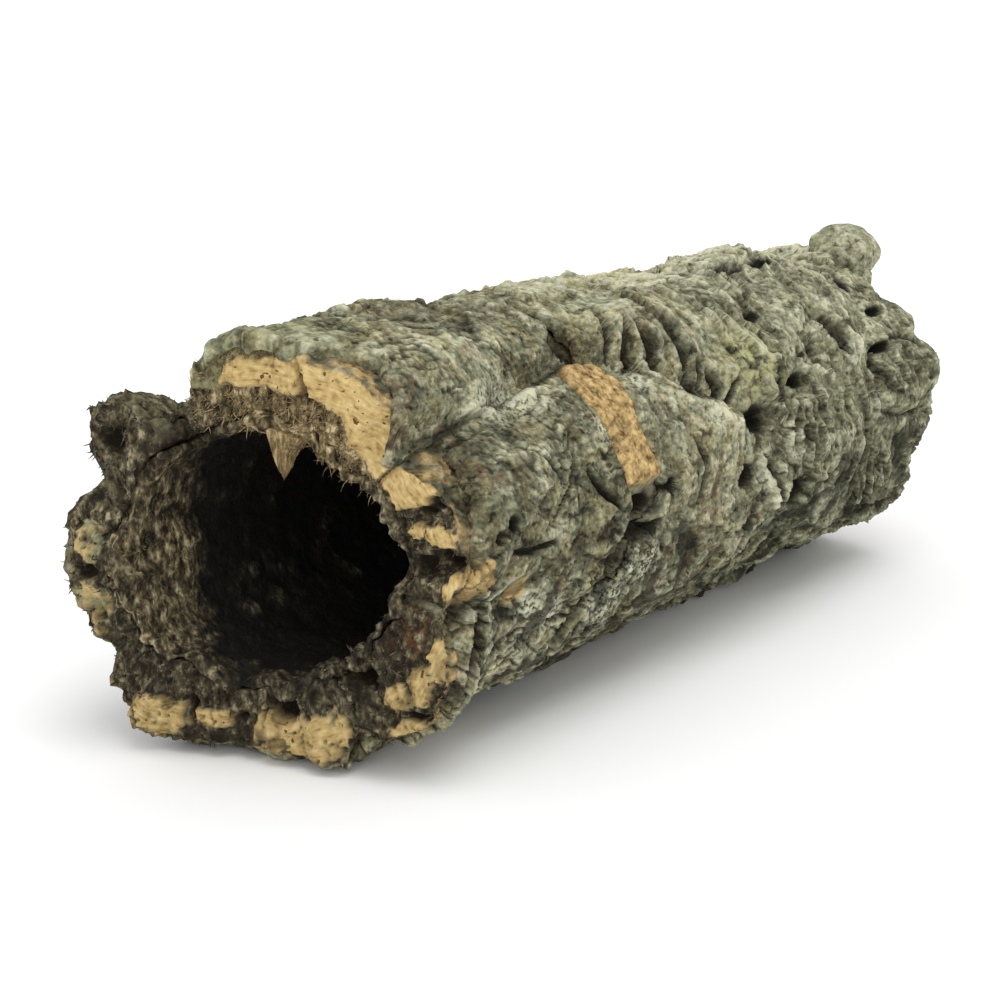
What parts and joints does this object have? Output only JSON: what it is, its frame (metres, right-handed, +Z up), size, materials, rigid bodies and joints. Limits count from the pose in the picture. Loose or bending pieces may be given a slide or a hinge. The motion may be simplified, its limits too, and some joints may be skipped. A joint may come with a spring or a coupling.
{
  "type": "cork tube hideout",
  "caption": "Hollow length of cork oak bark with fissured grey ribs, tan cork ends and a dark lining, open at both ends, for a small pet to hide in or walk through.",
  "frame": {"origin": "under the middle of the tube's box, on the surface that it rests on", "axes": "+Y along the tube from the front mouth to the rear, +X to the right seen from the front, +Z up"},
  "size_m": [0.15, 0.3946, 0.1512],
  "materials": {
    "cork": "cut cork, matt, with dark pores and streaks",
    "outer_bark": "rough grey-green bark with cracks and lichen",
    "inner_bark": "dark, fibrous and rough",
    "splinter": "dry, streaked along its length"
  },
  "bodies": {
    "root": {"inner_bark_lining": "inner_bark", "right_foot_cork": "cork", "right_shoulder_cork": "cork", "roof_cork": "cork", "left_shoulder_cork": "cork", "left_wall_cork": "cork", "floor_cork": "cork", "right_foot_front_bark": "outer_bark", "right_foot_rear_bark": "outer_bark", "right_shoulder_front_bark": "outer_bark", "right_shoulder_rear_bark": "outer_bark", "roof_front_bark": "outer_bark", "roof_rear_bark": "outer_bark", "left_shoulder_front_bark": "outer_bark", "left_shoulder_rear_bark": "outer_bark", "left_wall_front_bark": "outer_bark", "left_wall_rear_bark": "outer_bark", "floor_front_bark": "outer_bark", "floor_rear_bark": "outer_bark", "hanging_splinter": "splinter", "branch_knob": "outer_bark"}
  },
  "joints": []
}
